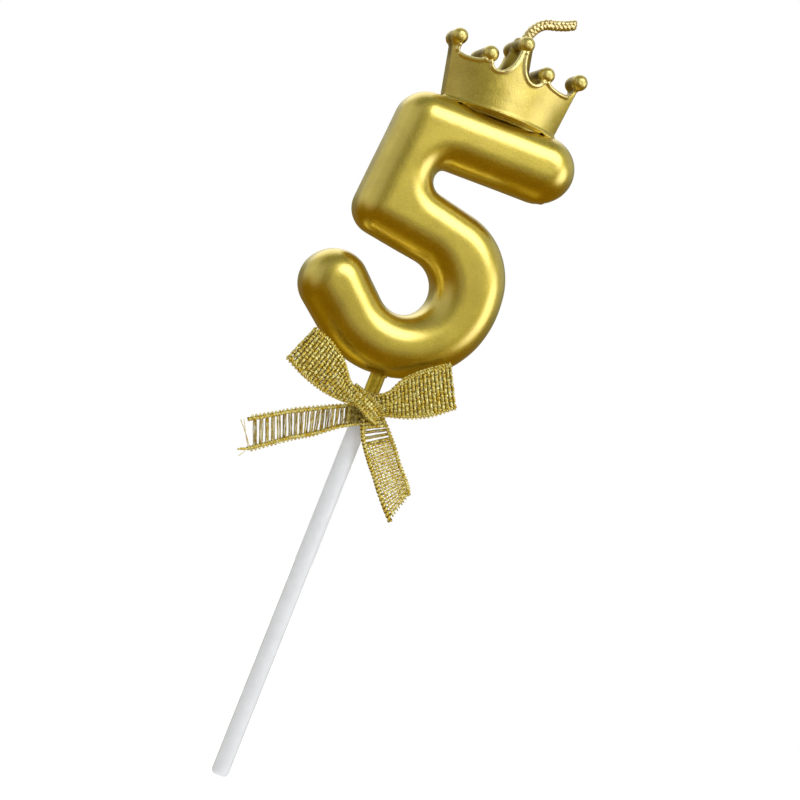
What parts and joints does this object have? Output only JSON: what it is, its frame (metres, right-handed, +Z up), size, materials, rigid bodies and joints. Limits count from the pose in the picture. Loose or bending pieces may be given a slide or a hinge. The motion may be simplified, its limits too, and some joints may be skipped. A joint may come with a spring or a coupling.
{
  "type": "number birthday candle",
  "caption": "Metallic gold number candle with a crown, a bent wick and a ribbon bow, on a plastic stick that is pushed into a cake.",
  "frame": {"origin": "centre of the small flat at the lower tip of the stick", "axes": "+Z up along the stick, the front of the figure faces -Y, +X to the right of someone looking at the front"},
  "size_m": [0.0398, 0.0136, 0.1497],
  "materials": {
    "gold_wax": "satin",
    "white_plastic": "satin",
    "gold_ribbon": "satin",
    "wick_cotton": "matte"
  },
  "bodies": {
    "stick": {"stick": "white_plastic"},
    "number": {"figure_five": "gold_wax", "crown": "gold_wax", "wick": "wick_cotton"},
    "bow": {"bow_knot": "gold_ribbon", "bow_loop_left": "gold_ribbon", "bow_loop_right": "gold_ribbon", "bow_tail_left": "gold_ribbon", "bow_tail_right": "gold_ribbon"}
  },
  "joints": [
    {"name": "number_pull_off", "type": "slide", "parent": "stick", "child": "number", "axis": [0, 0, 1], "range_m": [0, 0.0084]},
    {"name": "bow_slide", "type": "slide", "parent": "stick", "child": "bow", "axis": [0, 0, 1], "range_m": [-0.06, 0]}
  ]
}
